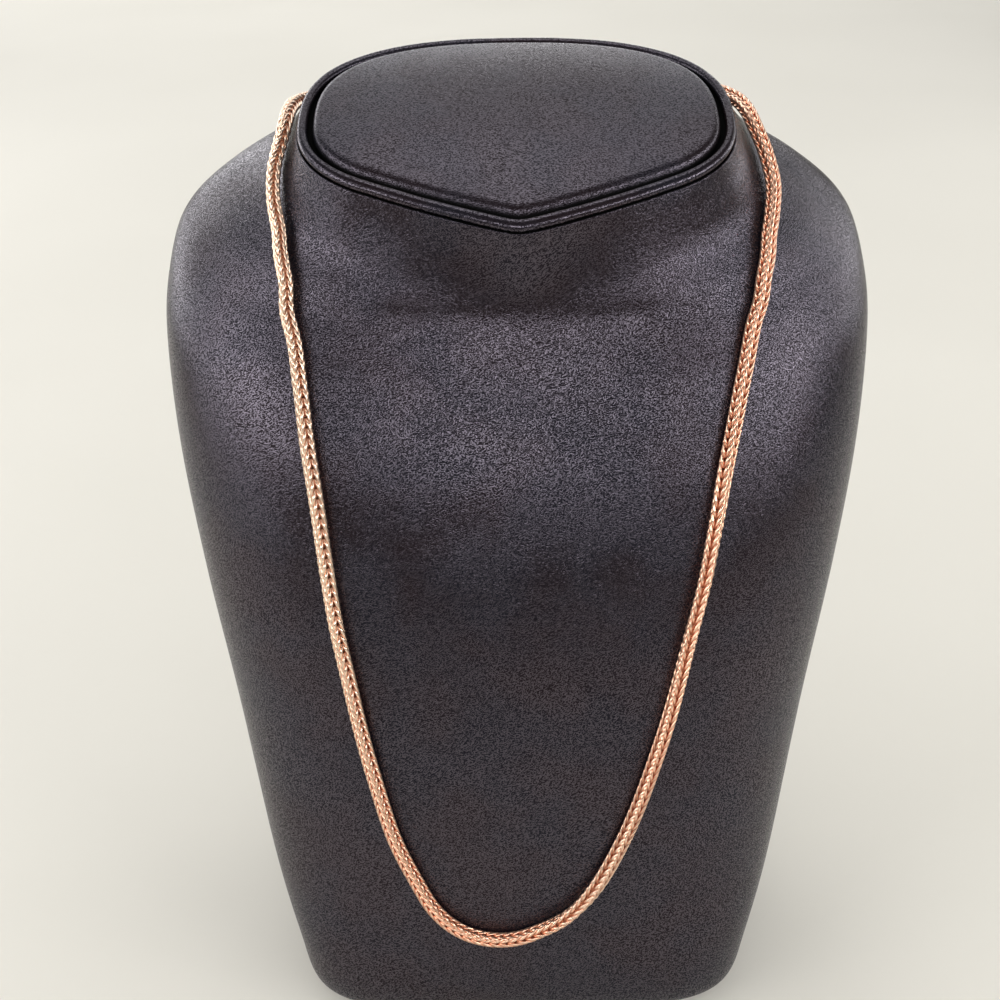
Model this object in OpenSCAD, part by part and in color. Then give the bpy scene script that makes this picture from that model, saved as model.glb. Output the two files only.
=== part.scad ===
// Link chain necklace laid round a black leatherette neck bust.
// The bust stands on its flat base with its front to -Y, and its middle line is x = 0.

/* [Bust] */
// Width over the shoulders
bust_w = 184; // [160:1:220]
// Depth from the front foot to the back of the shoulders
bust_d = 119.5; // [100:0.5:140]
// Height of the back of the neck, without the lip
bust_h = 239; // [210:1:270]
// How far the soft point stands out of the neck's front
point_out = 7.5; // [4:0.5:16]
// Width of the soft point at its root, from the middle to one side
point_half_w = 34; // [20:1:48]

/* [Neck top] */
// Width of the rolled lip
lip_w = 2.6; // [2:0.1:4.4]
// Height of the rolled lip
lip_h = 2.6; // [2:0.1:4]
// Open groove between the lip and the padded oval
groove_w = 1.2; // [0.6:0.1:2.4]
// Height of the padded oval's edge
pad_edge_h = 3.2; // [2:0.1:5]
// Rise of the padded oval from its edge to its middle
pad_dome = 1.6; // [0:0.1:4]

/* [Chain] */
// Thickness of the square chain across its flats
chain_w = 3.4; // [2.4:0.1:4.4]
// Clear gap between the chain and the covering it lies on
chain_gap = 0.2; // [0.1:0.05:0.5]

/* [Clasp] */
// Thickness of the clasp
clasp_d = 4.8; // [3.6:0.1:6]
// Bevel round each end of the clasp
clasp_bevel = 0.8; // [0.3:0.1:1.5]

/* [Hidden] */

leather_black = [0.09, 0.085, 0.095];
leather_lip = [0.12, 0.11, 0.125];
rose_gold = [0.86, 0.58, 0.44];

// Gap left between two pieces that lie against each other
seat_gap = 0.1;
// Level of the neck's closing face under the lip's outer edge
cap_drop = 0.7;
// Step back of the neck's wall under the lip
wall_inset = 0.3;
// Rounding of the soft point, and how softly its root runs out
point_round = 3;
point_fall = 1.5;
// Step in of the padded oval's foot, and width of the round shoulder over its edge
pad_foot = 0.4;
pad_shoulder = 0.8;
// Extra height of the chain's two ends over the covering, level with the clasp's middle
clasp_lift = (clasp_d - chain_w) / 2;

ring_points = 72;
ring_steps = 3;
lip_sides = 10;
chain_rings = 80;
chain_sides = 8;
clasp_sides = 96;

// The bust from its base to the top of the neck, one row for each level.
// Every level is a closed ring given by three of its points: the front and the back on the
// middle line, and the side. Between them it runs as a rounded oblong.
// Columns: front y, front z, side x, side y, side z, back y, back z,
//          squareness of the front half, squareness of the back half, share of the soft point
FRONT_Y = 0; FRONT_Z = 1;
SIDE_X = 2; SIDE_Y = 3; SIDE_Z = 4;
BACK_Y = 5; BACK_Z = 6;
SQUARE_FRONT = 7; SQUARE_BACK = 8; POINT = 9;
levels = [
    [-55, 0, 58.5, -11.5, 0, 28.5, 0, 5, 2.8, 0],
    [-57.8, 5, 62, -11.5, 5, 31.5, 5, 5, 2.8, 0],
    [-58.4, 16, 65, -9.5, 16, 34.5, 16, 4.5, 2.8, 0],
    [-56.5, 40, 71.5, -6.5, 40, 38.5, 40, 3.4, 2.8, 0],
    [-52, 80, 78.2, -0.5, 80, 45.5, 80, 2.8, 2.8, 0],
    [-45, 120, 85.2, 6.5, 120, 52.5, 120, 2.6, 2.8, 0],
    [-36, 150, 90, 14.5, 152, 57.5, 155, 2.5, 2.8, 0],
    [-25.5, 172, 92, 22.5, 178, 60.5, 185, 2.4, 2.8, 0],
    [-19, 184, 91, 28.5, 192, 61, 205, 2.3, 2.6, 0],
    [-16.3, 190, 87.5, 31.5, 201, 60.5, 216, 2.2, 2.4, 0],
    [-15.2, 194.5, 78, 30.5, 209, 58.5, 224, 2.2, 2.3, 0],
    [-15, 199, 64, 27, 217, 56.5, 230, 2.2, 2.35, 0.15],
    [-15.5, 206, 57.3, 22.5, 223.2, 56.5, 235, 2.35, 2.35, 0.55],
    [-17, 212.5, 54, 19.8, 228, 58, 239, 2.5, 2.4, 1]
];
// Sizes the table is drawn at, for stretching it to the sizes set above
table_w = 184;
table_d = 119.5;
table_h = 239;
top = len(levels) - 1;

// Where the chain lies, from the clasp round the left side, down the front and back up.
// Columns: level in the table above, direction round the bust in degrees, lift off the covering
LEVEL = 0; TURN = 1; LIFT = 2;
route = [
    [11.5, 95, clasp_lift], [11.3, 110, 0.4], [11.1, 123.5, 0.5], [11, 136, 0.5],
    [11.45, 149, 0.4], [12.1, 162, 0.2], [12.35, 174, 0.2], [12.05, 185.5, 0.2],
    [11.6, 195, 0.2], [11.2, 203.5, 0.2], [10.65, 216, 0.2], [9.8, 228, 0.2],
    [8.2, 234.7, 0.1], [7.2, 237, 0], [6.55, 238, 0], [6, 239, 0],
    [5.5, 239.5, 0], [5.05, 240, 0], [4.65, 241, 0], [4.3, 242, 0],
    [3.95, 243.5, 0], [3.6, 245.5, 0], [3.3, 248.5, 0], [3, 252, 0],
    [2.8, 256.5, 0], [2.7, 262, 0], [2.7, 268, 0], [2.8, 273.5, 0],
    [2.95, 279, 0], [3.2, 284, 0], [3.5, 288, 0], [3.8, 291, 0],
    [4.15, 293.5, 0], [4.5, 295.5, 0], [4.9, 297, 0], [5.3, 298.5, 0],
    [5.75, 299.5, 0], [6.2, 300.5, 0], [6.7, 302, 0], [7.35, 304, 0],
    [8.45, 307.5, 0.1], [9.68, 314.2, 0.2], [10.38, 323.8, 0.2], [10.74, 334.2, 0.2],
    [11, 345.2, 0.3], [11.4, 355.5, 0.4], [11.8, 367, 0.3], [11.8, 378.5, 0.3],
    [11.5, 389.5, 0.4], [11.2, 401, 0.5], [11.15, 414, 0.5], [11.3, 429, 0.4],
    [11.5, 445, clasp_lift]
];

// Smooth curve through the rows of a table, at row number s
function row_at(rows, s) =
    let (
        last = len(rows) - 1,
        i = min(floor(s), last - 1),
        t = s - i,
        a = rows[max(i - 1, 0)],
        b = rows[i],
        c = rows[i + 1],
        d = rows[min(i + 2, last)]
    )
    0.5 * (2 * b + (c - a) * t + (2 * a - 5 * b + 4 * c - d) * t * t
        + (3 * b - a - 3 * c + d) * t * t * t);

// Height over a level at depth y, a gentle bow through its front, side and back
function bowed_z(row, y) =
    let (f = row[FRONT_Y], s = row[SIDE_Y], b = row[BACK_Y])
    row[FRONT_Z] * (y - s) * (y - b) / ((f - s) * (f - b))
    + row[SIDE_Z] * (y - f) * (y - b) / ((s - f) * (s - b))
    + row[BACK_Z] * (y - f) * (y - s) / ((b - f) * (b - s));

// Share of the soft point at distance x from the middle line
function point_share(x) =
    let (away = sqrt(x * x + point_round * point_round) - point_round)
    pow(max(0, 1 - away / point_half_w), point_fall);

// Point of one level in direction turn, in the table's own sizes
function table_point(row, turn) =
    let (
        c = cos(turn),
        s = sin(turn),
        n = s < 0 ? row[SQUARE_FRONT] : row[SQUARE_BACK],
        reach = pow(pow(abs(c), n) + pow(abs(s), n), -1 / n),
        x = row[SIDE_X] * reach * c,
        out = point_out * row[POINT],
        front_d = row[SIDE_Y] - row[FRONT_Y] - out,
        y = s < 0
            ? row[SIDE_Y] - front_d * reach * abs(s) - out * point_share(x)
            : row[SIDE_Y] + (row[BACK_Y] - row[SIDE_Y]) * reach * s
    )
    [x, y, bowed_z(row, y)];

function stretch(p) =
    [p[0] * bust_w / table_w, p[1] * bust_d / table_d, p[2] * bust_h / table_h];

function on_bust(level, turn) = stretch(table_point(row_at(levels, level), turn));

function unit(v) = v / norm(v);

// Direction straight out of the covering
function outward(level, turn) =
    unit(cross(
        on_bust(level, turn + 0.5) - on_bust(level, turn - 0.5),
        on_bust(level + 0.02, turn) - on_bust(level - 0.02, turn)
    ));

// Height of the neck's closing face at depth y
function cap_z(y) =
    bowed_z(levels[top], y * table_d / bust_d) * bust_h / table_h - cap_drop;

// The neck's outline drawn in by a distance, at a height over its closing face
function neck_point(turn, inset, rise) =
    let (
        p = stretch(table_point(levels[top], turn)),
        q = stretch(table_point(levels[top], turn + 1))
            - stretch(table_point(levels[top], turn - 1)),
        in = unit([-q[1], q[0]]),
        y = p[1] + inset * in[1]
    )
    [p[0] + inset * in[0], y, cap_z(y) + rise];

// The same outline shrunk towards the middle of the neck
neck_mid_y = (levels[top][FRONT_Y] + levels[top][BACK_Y]) / 2 * bust_d / table_d;
function shrunk_point(turn, inset, share, rise) =
    let (
        p = neck_point(turn, inset, 0),
        y = neck_mid_y + (p[1] - neck_mid_y) * share
    )
    [p[0] * share, y, cap_z(y) + rise];

turns = [for (i = [0 : ring_points - 1]) i * 360 / ring_points];

// Closed solid from a stack of rings, with a middle point under and over them
module stack(rings, under, over) {
    n = len(rings[0]);
    m = len(rings);
    points = concat([for (r = rings) each r], [under, over]);
    low = m * n;
    high = low + 1;
    sides = [
        for (k = [0 : m - 2]) for (i = [0 : n - 1])
            let (j = (i + 1) % n, a = k * n, b = a + n)
            each [[a + i, b + i, b + j], [a + i, b + j, a + j]]
    ];
    floor_faces = [for (i = [0 : n - 1]) [low, i, (i + 1) % n]];
    roof_faces = [for (i = [0 : n - 1]) [high, low - n + (i + 1) % n, low - n + i]];
    polyhedron(points = points, faces = concat(floor_faces, sides, roof_faces), convexity = 6);
}

// Closed tube through rings that meet end to end
module hoop(rings) {
    n = len(rings[0]);
    m = len(rings);
    faces = [
        for (k = [0 : m - 1]) for (i = [0 : n - 1])
            let (j = (i + 1) % n, a = k * n, b = ((k + 1) % m) * n)
            each [[a + i, b + i, b + j], [a + i, b + j, a + j]]
    ];
    polyhedron(points = [for (r = rings) each r], faces = faces, convexity = 6);
}

// Rings of the neck's closing face, and of the padded oval's underside on it
cap_shares = [1, 0.75, 0.5, 0.25];

module bust_body() {
    wall = [
        for (k = [0 : top * ring_steps - 1])
            [for (a = turns) on_bust(k / ring_steps, a)]
    ];
    cap = [for (share = cap_shares) [for (a = turns) shrunk_point(a, wall_inset, share, 0)]];
    color(leather_black)
        stack(
            concat(wall, cap),
            [0, (levels[0][FRONT_Y] + levels[0][BACK_Y]) / 2 * bust_d / table_d, 0],
            [0, neck_mid_y, cap_z(neck_mid_y)]
        );
}

// Rolled lip, a cord under the covering that runs round the top of the neck
module neck_rim() {
    rings = [
        for (a = turns)
            [
                for (k = [0 : lip_sides - 1])
                    let (w = k * 360 / lip_sides)
                    neck_point(
                        a,
                        lip_w / 2 * (1 - cos(w)),
                        seat_gap + lip_h / 2 * (1 - sin(w))
                    )
            ]
    ];
    color(leather_lip) hoop(rings);
}

// Padded oval inside the lip
module neck_pad() {
    edge = lip_w + groove_w;
    // Columns: inset from the neck's outline, share of the edge's height
    side_rows = [
        [edge + pad_foot, 0],
        [edge, 0.3],
        [edge + 0.1 * pad_shoulder, 0.7],
        [edge + pad_shoulder, 0.95]
    ];
    dome_shares = [0.92, 0.8, 0.6, 0.4, 0.2];
    floor_rings = [
        for (k = [len(cap_shares) - 1 : -1 : 1])
            [for (a = turns) shrunk_point(a, side_rows[0][0], cap_shares[k], seat_gap)]
    ];
    sides = [
        for (r = side_rows)
            [for (a = turns) neck_point(a, r[0], seat_gap + r[1] * pad_edge_h)]
    ];
    dome = [
        for (share = dome_shares)
            [
                for (a = turns)
                    shrunk_point(
                        a, edge + pad_shoulder, share,
                        seat_gap + pad_edge_h + pad_dome * (1 - share * share)
                    )
            ]
    ];
    color(leather_black)
        stack(
            concat(floor_rings, sides, dome),
            [0, neck_mid_y, cap_z(neck_mid_y) + seat_gap],
            [0, neck_mid_y, cap_z(neck_mid_y) + seat_gap + pad_edge_h + pad_dome]
        );
}

// Middle of the chain at row number s of the route
function chain_mid(s) =
    let (r = row_at(route, s))
    on_bust(r[LEVEL], r[TURN])
    + outward(r[LEVEL], r[TURN]) * (chain_w / 2 + chain_gap + r[LIFT]);

// One eight sided section of the chain, square to its run
function chain_section(s) =
    let (
        last = len(route) - 1,
        ends = s == 0 || s == last,
        step = 0.05,
        along = ends
            ? [-1, 0, 0]
            : unit(chain_mid(min(s + step, last)) - chain_mid(max(s - step, 0))),
        r = row_at(route, s),
        out = outward(r[LEVEL], r[TURN]),
        up = unit(out - along * (out * along)),
        side = cross(up, along),
        reach = chain_w / 2 / cos(180 / chain_sides)
    )
    [
        for (k = [0 : chain_sides - 1])
            let (w = (k + 0.5) * 360 / chain_sides)
            chain_mid(s) + reach * (cos(w) * side + sin(w) * up)
    ];

// The whole string as one flexible body, its two ends at the clasp
module chain() {
    last = len(route) - 1;
    rings = [for (k = [0 : chain_rings - 1]) chain_section(last * k / (chain_rings - 1))];
    color(rose_gold) stack(rings, chain_mid(0), chain_mid(last));
}

// Plain closed barrel at the back of the neck
module clasp() {
    start = chain_mid(0);
    half_l = abs(start[0]) - seat_gap;
    r = clasp_d / 2;
    profile = [
        [0, -half_l],
        [r - clasp_bevel, -half_l],
        [r, clasp_bevel - half_l],
        [r, half_l - clasp_bevel],
        [r - clasp_bevel, half_l],
        [0, half_l]
    ];
    color(rose_gold)
        translate([0, start[1], start[2]])
            rotate([0, 90, 0])
                rotate_extrude($fn = clasp_sides) polygon(profile);
}

bust_body();
neck_rim();
neck_pad();
chain();
clasp();
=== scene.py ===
# %% [markdown]
# # A woven chain necklace on a black neck bust
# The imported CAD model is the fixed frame: it says where every piece is, in metres.
# This lesson dresses it. The covered bust, its rolled lip and its padded oval become finer
# surfaces, and the plain string becomes a chain of links that pass through each other's eyes.

# %% Load the frame
import math

import bpy
import numpy as np
from mathutils import Matrix, Vector


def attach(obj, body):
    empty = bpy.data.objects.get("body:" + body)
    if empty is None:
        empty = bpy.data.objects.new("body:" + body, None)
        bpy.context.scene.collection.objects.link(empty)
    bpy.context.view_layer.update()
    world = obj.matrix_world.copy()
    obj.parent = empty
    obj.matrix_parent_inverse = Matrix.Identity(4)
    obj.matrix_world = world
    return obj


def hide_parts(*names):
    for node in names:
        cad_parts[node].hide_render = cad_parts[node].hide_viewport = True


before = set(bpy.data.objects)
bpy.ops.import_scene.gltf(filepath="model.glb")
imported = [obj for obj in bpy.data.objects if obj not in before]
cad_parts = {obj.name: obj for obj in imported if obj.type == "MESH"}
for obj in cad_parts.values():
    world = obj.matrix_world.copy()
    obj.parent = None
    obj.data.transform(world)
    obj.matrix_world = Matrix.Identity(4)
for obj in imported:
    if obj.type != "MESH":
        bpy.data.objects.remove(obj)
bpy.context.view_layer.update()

MM = 0.001

# %% [markdown]
# ## The bust as a table of levels
# A real bust is a moulded core. Its shape could be sculpted, but a few measured levels say it
# better: each level is a closed ring given by its front, side and back points, and by how
# square it is. The same table drives the CAD model, so the two always agree.

# %% Levels of the bust
# Columns: front y, front z, side x, side y, side z, back y, back z (all mm),
#          squareness of the front half, squareness of the back half, share of the soft point
FRONT_Y, FRONT_Z, SIDE_X, SIDE_Y, SIDE_Z, BACK_Y, BACK_Z, SQUARE_FRONT, SQUARE_BACK, POINT = range(10)
LEVELS = np.array([
    [-55, 0, 58.5, -11.5, 0, 28.5, 0, 5, 2.8, 0],
    [-57.8, 5, 62, -11.5, 5, 31.5, 5, 5, 2.8, 0],
    [-58.4, 16, 65, -9.5, 16, 34.5, 16, 4.5, 2.8, 0],
    [-56.5, 40, 71.5, -6.5, 40, 38.5, 40, 3.4, 2.8, 0],
    [-52, 80, 78.2, -0.5, 80, 45.5, 80, 2.8, 2.8, 0],
    [-45, 120, 85.2, 6.5, 120, 52.5, 120, 2.6, 2.8, 0],
    [-36, 150, 90, 14.5, 152, 57.5, 155, 2.5, 2.8, 0],
    [-25.5, 172, 92, 22.5, 178, 60.5, 185, 2.4, 2.8, 0],
    [-19, 184, 91, 28.5, 192, 61, 205, 2.3, 2.6, 0],
    [-16.3, 190, 87.5, 31.5, 201, 60.5, 216, 2.2, 2.4, 0],
    [-15.2, 194.5, 78, 30.5, 209, 58.5, 224, 2.2, 2.3, 0],
    [-15, 199, 64, 27, 217, 56.5, 230, 2.2, 2.35, 0.15],
    [-15.5, 206, 57.3, 22.5, 223.2, 56.5, 235, 2.35, 2.35, 0.55],
    [-17, 212.5, 54, 19.8, 228, 58, 239, 2.5, 2.4, 1],
], float)
TOP = len(LEVELS) - 1
POINT_OUT = 7.5
POINT_HALF_W = 34.0
POINT_ROUND = 3.0
POINT_FALL = 1.5


def row_at(rows, s):
    """Rows of a table at row numbers s: a smooth curve through the rows, where each stretch is
    a cubic whose slope at a row is half the step from the row before to the row after."""
    s = np.asarray(s, float)
    last = len(rows) - 1
    i = np.clip(np.floor(s).astype(int), 0, last - 1)
    t = (s - i)[..., None]
    a, b, c, d = (rows[np.clip(i + k, 0, last)] for k in (-1, 0, 1, 2))
    return 0.5 * (2 * b + (c - a) * t + (2 * a - 5 * b + 4 * c - d) * t**2
                  + (3 * b - a - 3 * c + d) * t**3)


def bowed_z(row, y):
    """Height over a level at depth y: the parabola through its front, side and back points."""
    f, s, b = row[..., FRONT_Y], row[..., SIDE_Y], row[..., BACK_Y]
    return (row[..., FRONT_Z] * (y - s) * (y - b) / ((f - s) * (f - b))
            + row[..., SIDE_Z] * (y - f) * (y - b) / ((s - f) * (s - b))
            + row[..., BACK_Z] * (y - f) * (y - s) / ((b - f) * (b - s)))


def point_share(x):
    """How much of the soft point is left at distance x from the middle: a slope on each side,
    rounded over at the middle, raised to a power that lets its root run out softly."""
    slope = 1 - (np.sqrt(x**2 + POINT_ROUND**2) - POINT_ROUND) / POINT_HALF_W
    return np.maximum(0, slope)**POINT_FALL


def level_point(row, turn):
    """Point of a level in direction turn, in degrees. The ring is a rounded oblong: its reach
    is (|cos|^n + |sin|^n)^(-1/n) for squareness n, stretched to the level's three points."""
    a = np.radians(turn)
    c, s = np.cos(a), np.sin(a)
    front = s < 0
    n = np.where(front, row[..., SQUARE_FRONT], row[..., SQUARE_BACK])
    reach = (np.abs(c)**n + np.abs(s)**n)**(-1 / n)
    x = row[..., SIDE_X] * reach * c
    out = POINT_OUT * row[..., POINT]
    depth = row[..., SIDE_Y] - row[..., FRONT_Y] - out
    y = np.where(front,
                 row[..., SIDE_Y] - depth * reach * np.abs(s) - out * point_share(x),
                 row[..., SIDE_Y] + (row[..., BACK_Y] - row[..., SIDE_Y]) * reach * s)
    return np.stack([x, y, bowed_z(row, y)], -1)


def on_bust(level, turn):
    """Point on the covering at a level number and a direction, whole arrays at once."""
    level, turn = np.broadcast_arrays(level, turn)
    return level_point(row_at(LEVELS, level), turn)


def unit(v):
    """Arrows of length 1 that point the same way."""
    return v / np.linalg.norm(v, axis=-1, keepdims=True)


def outward(level, turn):
    """Direction straight out of the covering: the cross product of a small step round the
    bust and a small step up it."""
    return unit(np.cross(on_bust(level, turn + 0.5) - on_bust(level, turn - 0.5),
                         on_bust(level + 0.02, turn) - on_bust(level - 0.02, turn)))


sample = on_bust(np.linspace(0, TOP, 99)[:, None], np.arange(0, 360, 5.0))
print("bust in mm, from", sample.min((0, 1)).round(1), "to", sample.max((0, 1)).round(1))

# %% [markdown]
# ## From a grid of points to a mesh
# Every piece below is a grid: rings of points, one after the other. Neighbours on the grid
# make a four sided face. Working out all points as one array and handing them over at once is
# far quicker than making vertices one by one, and it keeps the formula in plain sight.


# %% Mesh from rings
def add_object(name, points, faces):
    """Object from points in mm and lists of point numbers, one list for each face."""
    mesh = bpy.data.meshes.new(name)
    mesh.from_pydata((points * MM).tolist(), [], faces)
    mesh.polygons.foreach_set("use_smooth", np.ones(len(mesh.polygons), bool))
    mesh.update()
    obj = bpy.data.objects.new(name, mesh)
    bpy.context.scene.collection.objects.link(obj)
    print(name, len(mesh.vertices), "points,", len(mesh.polygons), "faces")
    return obj


def grid_faces(m, n, looped):
    """Four sided faces between m rings of n points. looped joins the last ring to the first."""
    ring, col = np.meshgrid(np.arange(m if looped else m - 1), np.arange(n), indexing="ij")
    above, beside = (ring + 1) % m, (col + 1) % n
    quads = [ring * n + col, ring * n + beside, above * n + beside, above * n + col]
    return np.stack(quads, -1).reshape(-1, 4)


def mesh_from_rings(name, rings, looped=False, poles=None):
    """Object from rings of points in mm, an array (rings, points, 3). looped joins the last
    ring to the first, and poles are the two points that close an unlooped stack."""
    m, n = rings.shape[:2]
    faces = grid_faces(m, n, looped).tolist()
    points = rings.reshape(-1, 3)
    if poles is not None:
        points = np.vstack([points, poles])
        i = np.arange(n)
        j = (i + 1) % n
        low, high = m * n, m * n + 1
        faces += np.stack([np.full(n, low), j, i], -1).tolist()
        faces += np.stack([np.full(n, high), low - n + i, low - n + j], -1).tolist()
    return add_object(name, points, faces)


def keep_number(obj, name, values):
    """Keep one number for each point of a mesh, for its material to read."""
    numbers = np.asarray(values, np.float32).ravel()
    obj.data.attributes.new(name, "FLOAT", "POINT").data.foreach_set("value", numbers)


def smooth_noise(u, v, waves, seed):
    """Gentle unevenness between -1 and 1 over two directions: a sum of sine waves of random
    heading and phase, from waves per unit. The seed keeps every run the same."""
    rng = np.random.default_rng(seed)
    total = np.zeros(np.broadcast(u, v).shape)
    for _ in range(9):
        heading, phase = rng.uniform(0, 2 * np.pi, 2)
        length = waves * rng.uniform(0.6, 1.5)
        total += np.sin(length * (np.cos(heading) * u + np.sin(heading) * v) + phase)
    return total / 9


# %% [markdown]
# ## The covered body
# The core is wrapped in one hide of black leatherette, stretched until it is smooth and drawn
# in under the base. A stretched skin is never quite even, so the wall swells and sinks by a
# tenth of a millimetre, and the closing seam runs down the middle of the back as a fine
# sunken line. A grid over level and direction gives all of it in one surface.

# %% Body of the bust
CAP_DROP = 0.7
WALL_INSET = 0.3
SEAT_GAP = 0.1
AROUND = 288
SEAM_TURN, POINT_TURN = 90, 270
SEAM_RADIUS = 57
ring_turns = np.arange(AROUND) * 360 / AROUND
NECK_MID_Y = (LEVELS[TOP, FRONT_Y] + LEVELS[TOP, BACK_Y]) / 2


def cap_z(y):
    """Height of the neck's closing face at depth y."""
    return bowed_z(LEVELS[TOP], y) - CAP_DROP


def neck_point(turn, inset, rise):
    """The neck's outline drawn in by inset along its own normal, rise above the closing face."""
    p = level_point(LEVELS[TOP], turn)
    q = level_point(LEVELS[TOP], turn + 1) - level_point(LEVELS[TOP], turn - 1)
    inward = unit(np.stack([-q[..., 1], q[..., 0]], -1))
    x = p[..., 0] + inset * inward[..., 0]
    y = p[..., 1] + inset * inward[..., 1]
    return np.stack([x, y, cap_z(y) + rise], -1)


def shrunk_point(turn, inset, share, rise):
    """The drawn in outline shrunk towards the middle of the neck."""
    p = neck_point(turn, inset, 0)
    y = NECK_MID_Y + (p[..., 1] - NECK_MID_Y) * share
    return np.stack([p[..., 0] * share, y, cap_z(y) + rise], -1)


def turn_between(turn, mark):
    """Degrees from direction mark, 0 to 180, either way round."""
    return np.abs((turn - mark + 180) % 360 - 180)


def outline_run(turns, inset):
    """Running length of the drawn in outline at the end of each step from turn to turn."""
    ring = neck_point(np.append(turns, 360), inset, 0)
    return np.cumsum(np.linalg.norm(np.diff(ring, axis=0), axis=1))


# The rows sit closer together where the foot and the neck curve quickly
wall_levels = np.concatenate([
    np.linspace(0, 2, 18, endpoint=False), np.linspace(2, 8, 66, endpoint=False),
    np.linspace(8, TOP, 64),
])
level_grid, turn_grid = np.meshgrid(wall_levels, ring_turns, indexing="ij")
wall = on_bust(level_grid, turn_grid)
swell = 0.10 * smooth_noise(wall[..., 0], wall[..., 2], 0.07, 3)
swell += 0.05 * smooth_noise(wall[..., 0] + 40, wall[..., 2], 0.18, 5)
from_seam = np.radians(turn_between(turn_grid, SEAM_TURN)) * SEAM_RADIUS
seam = -0.35 * np.exp(-(from_seam / 0.8)**2) + 0.10 * np.exp(-((from_seam - 2.2) / 1.2)**2)
fade = np.clip((wall_levels - 0.3) / 0.7, 0, 1) * np.clip((TOP - 0.2 - wall_levels) / 1.2, 0, 1)
push = ((swell + seam) * fade[:, None])[..., None]
wall += outward(np.clip(level_grid, 0.02, TOP - 0.02), turn_grid) * push
wall[wall_levels < 0.2, :, 2] = np.maximum(wall[wall_levels < 0.2, :, 2], 0)

cap_shares = (1, 0.85, 0.6, 0.3)
cap = np.stack([shrunk_point(ring_turns, WALL_INSET, share, 0) for share in cap_shares])
body_rings = np.concatenate([wall[:-1], cap])
base_middle = [0, (LEVELS[0, FRONT_Y] + LEVELS[0, BACK_Y]) / 2, 0]
cap_middle = [0, NECK_MID_Y, cap_z(NECK_MID_Y)]
bust = mesh_from_rings("bust_covering", body_rings, poles=[base_middle, cap_middle])
# Painted shade: the face under the oval, which lies in the dark, is made black and dull
lit = np.ones(body_rings.shape[:2])
lit[-len(cap):] = 0
keep_number(bust, "lit", np.append(lit, [1, 0]))

# %% [markdown]
# ## The rolled lip
# Round the top of the neck the hide is folded over a cord and stuck down, which makes a soft
# roll. Its section is a circle, a little flat below, carried round the neck's outline. The
# roll varies in thickness as hand work does, and small puckers gather at the point, where the
# leather has to give.

# %% Rolled lip
LIP_W, LIP_H = 2.6, 2.6
LIP_AROUND, LIP_SIDES = 540, 20
lip_turns = np.arange(LIP_AROUND) * 360 / LIP_AROUND
lip_sides = np.arange(LIP_SIDES) * 2 * np.pi / LIP_SIDES
t_grid, w_grid = np.meshgrid(lip_turns, lip_sides, indexing="ij")
run_grid = outline_run(lip_turns, 0)[:, None] + 0 * w_grid
at_point = np.exp(-(turn_between(lip_turns, POINT_TURN) / 26)**2)
uneven = 0.06 * smooth_noise(run_grid, w_grid, 0.10, 11)
uneven += 0.04 * smooth_noise(run_grid, w_grid, 0.45, 12)
folds = np.sin(run_grid * 2.6 + 1.5 * np.sin(run_grid * 0.7))
pucker = 0.05 * at_point[:, None] * folds * np.cos(w_grid / 2)**2
swell = 0.95 + uneven + pucker
half_w, half_h = LIP_W / 2 * swell, LIP_H / 2 * swell
inset = LIP_W / 2 - half_w * np.cos(w_grid)
rise = SEAT_GAP + LIP_H / 2 - half_h * np.sin(w_grid)
lip = mesh_from_rings("rolled_lip", neck_point(t_grid, inset, rise)[:, ::-1], looped=True)
# Painted shade: its foot, and higher up its side towards the gap, are made black and dull
up_share = (1 - np.sin(w_grid)) / 2
gap_side, open_side = np.clip((up_share - 0.35) / 0.35, 0, 1), np.clip(up_share / 0.25, 0, 1)
lit = np.where(np.cos(w_grid) < 0, gap_side, open_side)
keep_number(lip, "lit", lit[:, ::-1])

# %% [markdown]
# ## The padded oval
# A board with a thin foam layer, covered with the same hide, closes the neck inside the lip.
# The foam rounds its edge over and lifts its middle. Round the edge the cover is drawn under
# the board, so short puckers run in from the rim and die out, strongest at the front.

# %% Padded oval
GROOVE_W, PAD_EDGE_H, PAD_DOME = 1.2, 3.2, 1.6
PAD_FOOT, PAD_SHOULDER = 0.4, 1.5
PAD_AROUND = 480
pad_turns = np.arange(PAD_AROUND) * 360 / PAD_AROUND
edge = LIP_W + GROOVE_W
# The edge: a quarter round from the foot up and over the shoulder
lift_steps = np.linspace(0, 1, 9)
edge_inset = edge + PAD_SHOULDER * (1 - np.sqrt(1 - lift_steps**2.6))
edge_inset += PAD_FOOT * np.exp(-lift_steps * 9)
edge_rise = PAD_EDGE_H * (0.02 + 0.96 * lift_steps)
dome_shares = np.concatenate([np.linspace(0.985, 0.85, 10), np.linspace(0.82, 0.06, 26)])
around = outline_run(pad_turns, edge)
front_pull = 0.25 + 0.75 * np.exp(-(turn_between(pad_turns, POINT_TURN) / 50)**2)
wave = np.sin(around * 1.9 + 2.0 * smooth_noise(around, 0 * around, 0.25, 21))
wave *= 0.6 + 0.4 * smooth_noise(around, 0 * around, 0.4, 22)
foot_shares = (0.25, 0.6, 0.9)
rings = [shrunk_point(pad_turns, edge + PAD_FOOT, share, SEAT_GAP) for share in foot_shares]
for inset, rise, depth in zip(edge_inset, edge_rise, np.sin(np.pi * lift_steps * 0.8)):
    rings.append(neck_point(pad_turns, inset + 0.09 * depth * front_pull * wave, SEAT_GAP + rise))
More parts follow.
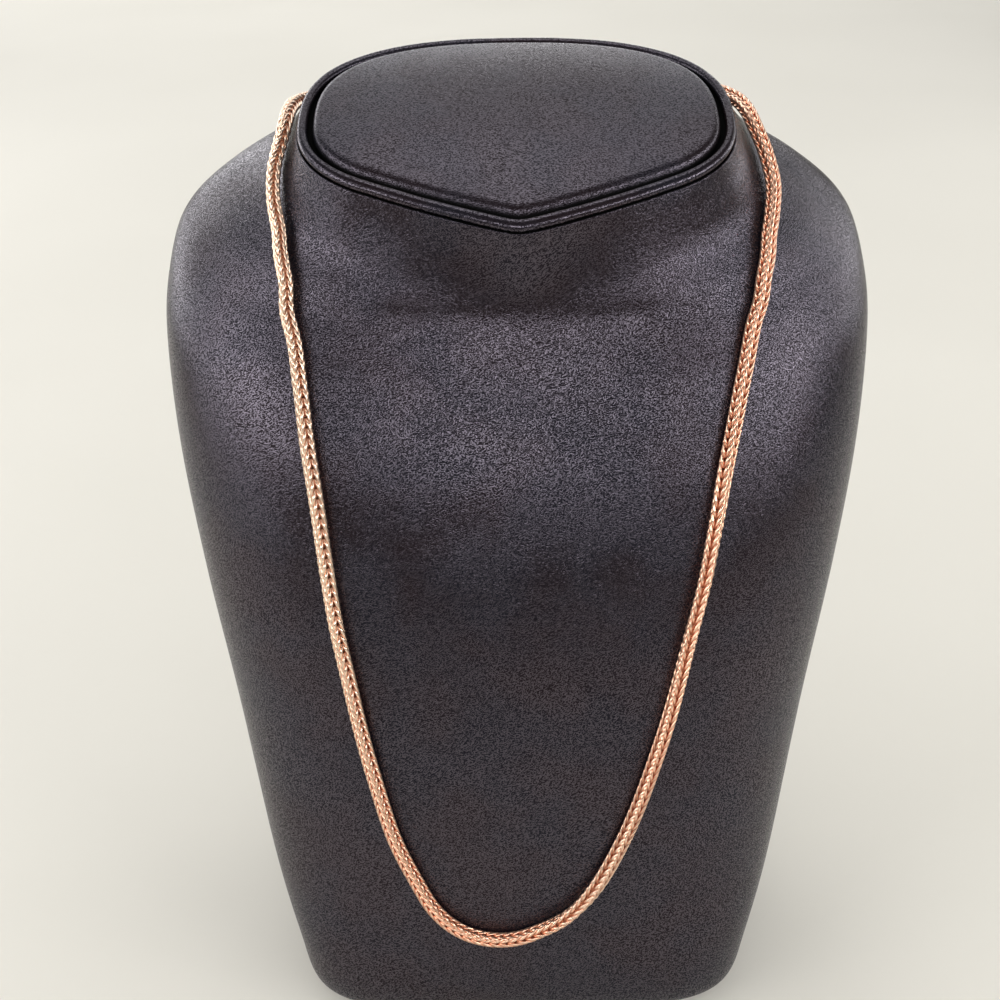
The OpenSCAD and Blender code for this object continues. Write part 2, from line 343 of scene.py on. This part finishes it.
for share in dome_shares:
    dome = PAD_EDGE_H * 0.98 + (PAD_DOME + 0.02 * PAD_EDGE_H) * (1 - share**2.2)
    pull = 0.07 * front_pull * wave * np.exp(-((1 - share) / 0.05)**2)
    top = shrunk_point(pad_turns, edge + PAD_SHOULDER, share, SEAT_GAP + dome + pull)
    top[:, 2] += 0.06 * (1 - share) * smooth_noise(top[:, 0], top[:, 1], 0.12, 23)
    rings.append(top)
pad_low = [0, NECK_MID_Y, cap_z(NECK_MID_Y) + SEAT_GAP]
pad_high = [0, NECK_MID_Y, cap_z(NECK_MID_Y) + SEAT_GAP + PAD_EDGE_H + PAD_DOME]
pad = mesh_from_rings("padded_oval", np.array(rings), poles=[pad_low, pad_high])
# Painted shade: the foot and the lower edge, which lie in the dark, are made black and dull
edge_lit = np.clip((lift_steps - 0.35) / 0.4, 0, 1)
lit = np.concatenate([np.zeros(len(foot_shares)), edge_lit, np.ones(len(dome_shares))])
keep_number(pad, "lit", np.append(np.repeat(lit, PAD_AROUND), [0, 1]))

# %% [markdown]
# ## Where the chain lies
# A loose chain takes its place by its own weight, so its path is given as a short table of
# level, direction and lift off the covering, the same as in the CAD model. The curve is cut
# into very many short steps, and its running length is kept, because links have to sit at
# even distances along it.

# %% Path of the chain
CHAIN_W = 3.4
CHAIN_GAP = 0.2
CLASP_LIFT = 0.7
# Columns: level, direction in degrees, lift in mm
ROUTE = np.array([
    [11.5, 95, CLASP_LIFT], [11.3, 110, 0.4], [11.1, 123.5, 0.5], [11, 136, 0.5],
    [11.45, 149, 0.4], [12.1, 162, 0.2], [12.35, 174, 0.2], [12.05, 185.5, 0.2],
    [11.6, 195, 0.2], [11.2, 203.5, 0.2], [10.65, 216, 0.2], [9.8, 228, 0.2],
    [8.2, 234.7, 0.1], [7.2, 237, 0], [6.55, 238, 0], [6, 239, 0],
    [5.5, 239.5, 0], [5.05, 240, 0], [4.65, 241, 0], [4.3, 242, 0],
    [3.95, 243.5, 0], [3.6, 245.5, 0], [3.3, 248.5, 0], [3, 252, 0],
    [2.8, 256.5, 0], [2.7, 262, 0], [2.7, 268, 0], [2.8, 273.5, 0],
    [2.95, 279, 0], [3.2, 284, 0], [3.5, 288, 0], [3.8, 291, 0],
    [4.15, 293.5, 0], [4.5, 295.5, 0], [4.9, 297, 0], [5.3, 298.5, 0],
    [5.75, 299.5, 0], [6.2, 300.5, 0], [6.7, 302, 0], [7.35, 304, 0],
    [8.45, 307.5, 0.1], [9.68, 314.2, 0.2], [10.38, 323.8, 0.2], [10.74, 334.2, 0.2],
    [11, 345.2, 0.3], [11.4, 355.5, 0.4], [11.8, 367, 0.3], [11.8, 378.5, 0.3],
    [11.5, 389.5, 0.4], [11.2, 401, 0.5], [11.15, 414, 0.5], [11.3, 429, 0.4],
    [11.5, 445, CLASP_LIFT],
], float)
# How far the square string is turned about its own run, in degrees, at some rows of the route
ROLL = np.array([
    [0, 90], [4, 112], [5, 113], [6, 95], [7, 86], [8, 70], [9, 53], [10, 46], [11, 39],
    [12, 34], [16, 38], [18, 50], [20, 60], [22, 70], [24, 82], [26, 86], [27, 100],
    [28.5, 120], [30, 154], [31, 158], [32.5, 162], [34, 203], [35, 206], [36.5, 215],
    [38, 247], [40, 246], [41, 253], [43, 259], [44, 273], [46, 303], [48, 340], [52, 360],
], float)


def chain_frame(s):
    """Middle of the chain and the direction out of the covering, at row numbers s."""
    row = row_at(ROUTE, s)
    out = outward(row[..., 0], row[..., 1])
    middle = on_bust(row[..., 0], row[..., 1])
    return middle + out * (CHAIN_W / 2 + CHAIN_GAP + row[..., 2])[..., None], out


STEPS, ROLL_WINDOW = 12001, 481
steps = np.linspace(0, len(ROUTE) - 1, STEPS)
middle, out = chain_frame(steps)
along = unit(np.gradient(middle, axis=0))
out = unit(out - along * (out * along).sum(-1, keepdims=True))
side = np.cross(out, along)
distance = np.concatenate([[0], np.cumsum(np.linalg.norm(np.diff(middle, axis=0), axis=1))])
roll = np.radians(np.interp(steps, ROLL[:, 0], ROLL[:, 1]))
# A running average takes the corners out of the turning
roll = np.pad(roll, ROLL_WINDOW // 2, mode="edge")
roll = np.convolve(roll, np.ones(ROLL_WINDOW) / ROLL_WINDOW, mode="valid")
print("length of the chain in mm:", distance[-1].round(1))

# %% [markdown]
# ## One link
# The string is a crossed loop-in-loop chain. Each link is a closed ring of wire, pinched in
# the middle and folded up into two eyes. The next link of its own kind passes through both
# eyes, and links turned a quarter way do the same between them, which gives four columns of
# small V shapes. The ring is drawn by five points of one quarter, mirrored to sixteen. Near
# wires press into each other a little, so the whole string stays one firm mesh.

# %% Shape of one link
PITCH = 2.44
WIRE = 0.90
# Columns: distance out of the chain's middle, place along it in pitches, half width of the ring
QUARTER = np.array([
    [0.00, -0.10, 0.34],
    [1.13, -0.30, 0.24],
    [1.33, 0.36, 0.72],
    [1.10, 0.99, 1.18],
    [0.45, 1.20, 0.00],
], float)
out_q, along_q, half_q = QUARTER[:, 0], QUARTER[:, 1] * PITCH, QUARTER[:, 2]
corners = np.concatenate([
    np.stack([out_q, half_q, along_q], -1),
    np.stack([out_q, -half_q, along_q], -1)[::-1][1:],
    np.stack([-out_q, -half_q, along_q], -1)[1:],
    np.stack([-out_q, half_q, along_q], -1)[::-1][1:-1],
])
WIRE_SIDES = 6
tangent = unit(np.roll(corners, -1, 0) - np.roll(corners, 1, 0))
spoke = corners - np.array([0, 0, 0.55 * PITCH])
normal = unit(spoke - tangent * (spoke * tangent).sum(-1, keepdims=True))
binormal = np.cross(tangent, normal)
spin = (np.arange(WIRE_SIDES) + 0.5) * 2 * np.pi / WIRE_SIDES
spokes = (np.cos(spin)[None, :, None] * normal[:, None]
          + np.sin(spin)[None, :, None] * binormal[:, None])
link = corners[:, None] + WIRE / 2 * spokes
print("points in a link:", link.shape[0] * link.shape[1])
print("half widths and height in mm:", link.max((0, 1)).round(2))

# %% [markdown]
# ## The whole chain
# Copying a link object five hundred times and parenting it would work, but the chain bends.
# Here every point of every link is bent with the path: its place along the link picks the
# spot on the path, and its two other coordinates go across it. All links make one mesh.

# %% Chain of links
chain_end = distance[-1]
count = int((chain_end - 1.6 * PITCH) / (PITCH / 2)) + 1
start = np.linspace(0.45 * PITCH, chain_end - 1.55 * PITCH, count)
lx, ly, lz = (link[None, ..., k] + np.zeros((count, 1, 1)) for k in range(3))
turned = (np.arange(count) % 2 == 1)[:, None, None]
across_a, across_b = np.where(turned, -ly, lx), np.where(turned, lx, ly)
place = start[:, None, None] + lz


def on_path(values, at):
    """Values of the path at running lengths at, interpolated for each column."""
    return np.stack([np.interp(at, distance, values[:, k]) for k in range(values.shape[1])], -1)


# Turned on its corner, the square string reaches lower, so it is lifted to lie on the hide
CORNER_LIFT = 0.34
path_mid = middle + out * (np.abs(np.sin(2 * roll)) * CORNER_LIFT)[:, None]
axis_a = np.cos(roll)[:, None] * out + np.sin(roll)[:, None] * side
axis_b = np.cross(along, axis_a)
points = (on_path(path_mid, place) + across_a[..., None] * unit(on_path(axis_a, place))
          + across_b[..., None] * unit(on_path(axis_b, place)))
stations, sides = link.shape[:2]
one = grid_faces(stations, sides, True)
faces = (one[None] + (np.arange(count) * stations * sides)[:, None, None]).reshape(-1, 4)
chain = add_object("woven_chain", points.reshape(-1, 3), faces.tolist())
# How far out each point lies in the square string, 0 in the core and 1 on its four sides
depth = np.maximum(np.abs(across_a), np.abs(across_b)) / (CHAIN_W / 2)
keep_number(chain, "depth", depth)
keep_number(chain, "run", place / chain_end)
print("links:", count)

# %% [markdown]
# ## Writing a material as sums
# A node tree is a formula drawn as boxes. A small class that wraps a socket and overloads
# plus, minus and times lets the formula be read as one, while it still builds the nodes.


# %% Shader maths
class Value:
    """A number or vector inside a material. Plus, minus, times and over add Math nodes."""

    def __init__(self, tree, socket):
        self.tree, self.socket = tree, socket

    def node(self, kind, settings=None, **sockets):
        """A new node of a type: its settings, then the values or links of its sockets. A
        socket is named, or given as i and its number."""
        made = self.tree.nodes.new(kind)
        for name, value in (settings or {}).items():
            setattr(made, name, value)
        for name, value in sockets.items():
            key = int(name[1:]) if name[1:].isdigit() else name.replace("_", " ")
            if isinstance(value, Value):
                self.tree.links.new(value.socket, made.inputs[key])
            else:
                made.inputs[key].default_value = value
        return made

    def maths(self, operation, *values):
        """One Math node over the values."""
        made = self.node("ShaderNodeMath", {"operation": operation},
                         **{f"i{k}": v for k, v in enumerate(values)})
        return Value(self.tree, made.outputs[0])

    def __add__(self, other): return self.maths("ADD", self, other)
    def __sub__(self, other): return self.maths("SUBTRACT", self, other)
    def __mul__(self, other): return self.maths("MULTIPLY", self, other)
    def __truediv__(self, other): return self.maths("DIVIDE", self, other)
    def __rsub__(self, other): return self.maths("SUBTRACT", other, self)
    __radd__, __rmul__ = __add__, __mul__

    def clamp(self, low, high):
        """0 at low, 1 at high, a soft S between them."""
        made = self.node("ShaderNodeMapRange", {"interpolation_type": "SMOOTHSTEP"},
                         i0=self, i1=low, i2=high, i3=0.0, i4=1.0)
        return Value(self.tree, made.outputs[0])

    def mix(self, low, high):
        """Colour between low and high, by this value."""
        made = self.node("ShaderNodeMix", {"data_type": "RGBA"}, i0=self, i6=low, i7=high)
        return Value(self.tree, made.outputs[2])

    def scaled(self, x, y, z):
        """This vector with its three parts multiplied."""
        made = self.node("ShaderNodeVectorMath", {"operation": "MULTIPLY"}, i0=self, i1=(x, y, z))
        return Value(self.tree, made.outputs[0])

    def moved(self, other):
        """This vector plus another."""
        made = self.node("ShaderNodeVectorMath", {"operation": "ADD"}, i0=self, i1=other)
        return Value(self.tree, made.outputs[0])

    def turned(self, angle):
        """This place turned about the front to back line, in radians."""
        made = self.node("ShaderNodeVectorRotate", {"rotation_type": "Y_AXIS"},
                         Vector=self, Angle=angle)
        return Value(self.tree, made.outputs[0])

    def noise(self, scale, detail=2.0, roughness=0.5):
        """Cloudy noise at this place, lumps per metre."""
        made = self.node("ShaderNodeTexNoise", None, Vector=self, Scale=scale, Detail=detail,
                         Roughness=roughness)
        return Value(self.tree, made.outputs[0])

    def noise_vector(self, scale, detail=1.0):
        """Cloudy noise with three separate parts, for pushing a place about."""
        made = self.node("ShaderNodeTexNoise", None, Vector=self, Scale=scale, Detail=detail)
        return Value(self.tree, made.outputs[1])

    def bump(self, distance, strength=1.0):
        """Surface normal pushed about by this height, distance in metres."""
        made = self.node("ShaderNodeBump", None, Height=self, Distance=distance,
                         Strength=strength)
        return Value(self.tree, made.outputs[0])


def new_material(name):
    """An empty material: its shader, and the place on the object as a value."""
    mat = bpy.data.materials.new(name)
    mat.use_nodes = True
    shader = mat.node_tree.nodes["Principled BSDF"]
    where = mat.node_tree.nodes.new("ShaderNodeTexCoord")
    return mat, shader, Value(mat.node_tree, where.outputs["Object"])


def attribute_value(mat, name):
    """A number kept on the points of the mesh, as a value."""
    made = mat.node_tree.nodes.new("ShaderNodeAttribute")
    made.attribute_name = name
    return Value(mat.node_tree, made.outputs["Fac"])


def shader_mix(share, low, high):
    """Two shader nodes mixed: low where the share is 0, high where it is 1."""
    return share.node("ShaderNodeMixShader", None, i0=share, i1=Value(share.tree, low.outputs[0]),
                      i2=Value(share.tree, high.outputs[0]))


def plug(shader, name, value):
    """Feed a value into one of the shader's sockets."""
    value.tree.links.new(value.socket, shader.inputs[name])


# %% [markdown]
# ## Black leatherette
# The hide is a dark plastic skin pressed with a fine grain. Stretched over the core it breaks
# into short shallow wrinkles that lie side by side and climb a little to one side, with small
# pebbles between them. One height says all: as a bump it shapes the light, and it also tells
# the glossy crowns from the dull folds. Slow clouds vary its depth, its heading and the shine.


# %% Leather
def leather(name, grain, gloss, lean):
    """Black leatherette. grain is the depth of the wrinkles, gloss the roughness of their
    crowns, and lean the climb of the wrinkles in degrees."""
    mat, shader, place = new_material(name)
    cloud = place.noise(45, 2)
    sway = place.noise_vector(30, 1).scaled(0.010, 0.010, 0.010)
    spot = place.moved(sway).turned(math.radians(lean))
    streak = spot.scaled(0.50, 1.0, 1.0)
    bend = streak.noise_vector(900, 0).scaled(0.0002, 0.0002, 0.0002)
    wrinkles = streak.moved(bend).noise(4300, 0)
    creases = streak.noise(2600, 0)
    pebbles = place.noise(5200, 0)
    height = wrinkles * 0.8 + creases * 0.3 + pebbles * 0.4
    depth = cloud.clamp(0.25, 0.75) * 0.4 + 0.7
    normal = (height * depth).bump(0.00010 * grain, 1.0)
    tone = cloud.clamp(0.35, 0.65).mix((0.0080, 0.0042, 0.0052, 1), (0.0050, 0.0052, 0.0085, 1))
    plug(shader, "Base Color", tone)
    plug(shader, "Roughness", cloud * 0.10 + (gloss - 0.05))
    plug(shader, "Normal", normal)
    shader.inputs["Specular Tint"].default_value = (0.94, 0.83, 1.0, 1)
    shader.inputs["Specular IOR Level"].default_value = 1.0
    # The crowns carry the gloss of the plastic and the folds between them are dull. Where the kept
    # number lit is 0, in the gap round the oval, shade is painted on as a black, dull surface
    folds = place.node("ShaderNodeBsdfPrincipled", None, Base_Color=tone, Roughness=0.40,
                       Specular_IOR_Level=0.15, Specular_Tint=(0.92, 0.84, 1.0, 1), Normal=normal)
    gap = place.node("ShaderNodeBsdfPrincipled", None, Base_Color=(0.003, 0.003, 0.003, 1),
                     Roughness=0.9, Specular_IOR_Level=0.05)
    hide = shader_mix(height.clamp(0.63, 0.82), folds, shader)
    covered = shader_mix(attribute_value(mat, "lit"), gap, hide)
    output = mat.node_tree.nodes["Material Output"]
    mat.node_tree.links.new(covered.outputs[0], output.inputs["Surface"])
    return mat


body_leather = leather("black_leatherette", 1.0, 0.19, 24)
pad_leather = leather("black_leatherette_pad", 0.7, 0.28, 0)
lip_leather = leather("black_leatherette_stretched", 0.4, 0.20, 0)
for piece, mat in ((bust, body_leather), (pad, pad_leather), (lip, lip_leather)):
    piece.data.materials.append(mat)

# %% [markdown]
# ## Rose gold
# Plated wire: a polished metal whose colour sits between copper and pale gold. Down in the weave it
# turns duller, where polish never reaches, and shade is painted on it as a pinker, darker tone. Its
# tone drifts a little along the chain. Fine draw marks and handling scratches break up the
# reflections.


# %% Rose gold
def rose_gold(name, weave_shade_and_tint):
    """Polished rose gold. The second argument says if the piece has the chain's depth, for painted
    shade.
    """
    mat, shader, place = new_material(name)
    cloud = place.noise(70, 2)
    scratch = place.scaled(1, 1, 0.3).noise(9000, 2, 0.7)
    tone = cloud.clamp(0.35, 0.65).mix((0.97, 0.70, 0.50, 1), (0.97, 0.76, 0.57, 1))
    rough = cloud * 0.08 + 0.24
    if weave_shade_and_tint:
        far_out, run = (attribute_value(mat, name) for name in ("depth", "run"))
        # Copper red on the low stretch and up the right side, pale on the left
        pale_spot = run.clamp(0.50, 0.54) * (1 - run.clamp(0.56, 0.62))
        red = run.clamp(0.30, 0.46) * (1 - 0.5 * pale_spot)
        copper = red.mix((0.80, 0.38, 0.22, 1), (0.82, 0.29, 0.15, 1))
        crest = red.mix((0.97, 0.76, 0.59, 1), (0.96, 0.64, 0.46, 1))
        # Painted shade: deeper in the weave the colour goes from the pale crest to copper, then to a
        # dark copper brown near the core
        tone = far_out.clamp(0.72, 1.0).mix(copper, crest)
        tone = far_out.clamp(0.30, 0.70).mix((0.52, 0.21, 0.10, 1), tone)
        rough = rough + 0.14 * (1 - far_out.clamp(0.4, 0.9))
    plug(shader, "Base Color", tone)
    plug(shader, "Roughness", rough)
    plug(shader, "Normal", scratch.bump(0.00001, 0.6))
    shader.inputs["Metallic"].default_value = 0.93 if weave_shade_and_tint else 1.0
    return mat


chain.data.materials.append(rose_gold("rose_gold_wire", True))
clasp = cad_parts["clasp"]
clasp.data.materials.clear()
clasp.data.materials.append(rose_gold("rose_gold_clasp", False))

# %% [markdown]
# ## Hanging the pieces on the frame
# Every new piece rides on the one body, and the CAD node it stands for is hidden.

# %% Rides and replacements
for piece, node, finish in ((bust, "bust_body", "leather"), (lip, "neck_rim", "leather_lip"),
                            (pad, "neck_pad", "leather"), (chain, "chain", "rose_gold")):
    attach(piece, "root")
    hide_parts(node)

# %% [markdown]
# ## Floor and studio light
# The picture has a plain pale ground and soft light all round. Two wide boxes in front, a
# little above the bust, make the band across the chest. Nothing bright stands below them, so
# the neck and the lower chest stay darker. Boxes at the sides and behind light the flanks.

# %% Floor
FLOOR_REACH = 6000
floor_corners = np.array([[-1, -1, 0], [1, -1, 0], [1, 1, 0], [-1, 1, 0]])
floor = add_object("floor", FLOOR_REACH * floor_corners, [(0, 1, 2, 3)])
floor_mat, floor_shader, floor_place = new_material("pale_ground")
floor_tone = floor_place.noise(3, 2).clamp(0.3, 0.7)
floor_tone = floor_tone.mix((0.72, 0.695, 0.625, 1), (0.75, 0.725, 0.655, 1))
plug(floor_shader, "Base Color", floor_tone)
floor_shader.inputs["Roughness"].default_value = 0.75
floor.data.materials.append(floor_mat)


# %% Lights and world
def soft_light(name, spot, target, width, height, watts):
    """A rectangular soft light at spot that faces target, in metres."""
    data = bpy.data.lights.new(name, "AREA")
    data.shape, data.size, data.size_y = "RECTANGLE", width, height
    data.energy = watts
    lamp = bpy.data.objects.new(name, data)
    bpy.context.scene.collection.objects.link(lamp)
    lamp.location = spot
    lamp.rotation_euler = (Vector(target) - Vector(spot)).to_track_quat("-Z", "Y").to_euler()


# Columns: name, direction round the bust from the front, height (both in degrees), distance,
#          width and height of the box in metres, and its brightness
BOXES = (
    ("front_wide_softbox", 0, 29, 1.0, 1.20, 0.16, 4.2),
    ("front_softbox", 0, 30, 1.0, 0.60, 0.16, 3.6),
    ("left_softbox", -58, 22, 1.1, 0.60, 0.27, 5.4),
    ("left_high_softbox", -55, 36, 1.1, 0.45, 0.25, 1.0),
    ("left_low_softbox", -75, 15, 0.8, 0.40, 0.80, 0.5),
    ("left_flank_softbox", -80, 10, 1.1, 0.55, 0.30, 2.6),
    ("left_side_softbox", -90, 36, 1.1, 0.48, 0.30, 2.8),
    ("left_back_softbox", -120, 9, 1.1, 0.60, 0.30, 4.6),
    ("left_far_softbox", -125, 24, 1.1, 0.60, 0.30, 0.7),
    ("right_softbox", 55, 23, 1.1, 0.65, 0.27, 6.8),
    ("right_flank_softbox", 80, 26, 1.1, 0.55, 0.30, 3.6),
    ("right_side_softbox", 105, 20, 1.1, 0.50, 0.40, 1.6),
    ("right_back_softbox", 120, 9, 1.1, 0.60, 0.30, 2.8),
    ("right_far_softbox", 125, 24, 1.1, 0.60, 0.30, 1.2),
    ("top_softbox", 180, 78, 0.6, 0.40, 0.25, 2.1),
    ("back_softbox", 180, 50, 1.0, 1.00, 0.50, 0.8),
    ("back_low_softbox", 180, 22, 1.4, 1.20, 0.50, 1.2),
)
chest = Vector((0, 0, 0.15))
for name, round_turn, lift, away, width, height, bright in BOXES:
    a, e = math.radians(round_turn), math.radians(lift)
    heading = Vector((math.sin(a) * math.cos(e), -math.cos(a) * math.cos(e), math.sin(e)))
    watts = math.pi * width * height * bright
    soft_light(name, chest + away * heading, chest, width, height, watts)
soft_light("far_softbox", (0, 2.3, 0.9), (0, 2.2, 0), 3.0, 1.0, 28.0)
soft_light("far_left_softbox", (-1.3, 1.9, 0.9), (-0.55, 1.2, 0), 0.9, 0.9, 9.0)

world = bpy.data.worlds.new("studio")
bpy.context.scene.world = world
world.use_nodes = True
background = world.node_tree.nodes["Background"]
background.inputs["Color"].default_value = (1.0, 0.985, 0.95, 1)
background.inputs["Strength"].default_value = 0.10
bpy.context.scene.view_settings.view_transform = "Standard"
print("lights:", len(BOXES) + 2)

# %% [markdown]
# ## The camera
# The photograph looks down on the bust from the front. Its place and angle were worked out
# from the outline of the bust, and the lens from how fast the bust narrows downwards.

# %% Camera
CAM_SPOT = Vector((-0.006, -0.3375, 0.324))
PITCH_DOWN, YAW, CAM_ROLL = math.radians(29.6), math.radians(0.15), math.radians(-0.65)
level_forward = Vector((math.sin(YAW), math.cos(YAW), 0))
forward = level_forward * math.cos(PITCH_DOWN) - Vector((0, 0, math.sin(PITCH_DOWN)))
level_right = Vector((math.cos(YAW), -math.sin(YAW), 0))
level_up = level_right.cross(forward)
right = level_right * math.cos(CAM_ROLL) + level_up * math.sin(CAM_ROLL)
up = right.cross(forward)
camera_data = bpy.data.cameras.new("camera")
camera_data.lens, camera_data.sensor_width = 52.2, 36.0
camera_data.clip_start, camera_data.clip_end = 0.01, 50
camera = bpy.data.objects.new("camera", camera_data)
bpy.context.scene.collection.objects.link(camera)
turn = Matrix((right, up, -forward)).transposed().to_4x4()
camera.matrix_world = Matrix.Translation(CAM_SPOT) @ turn
bpy.context.scene.camera = camera
print("camera looks along", tuple(round(v, 3) for v in forward))
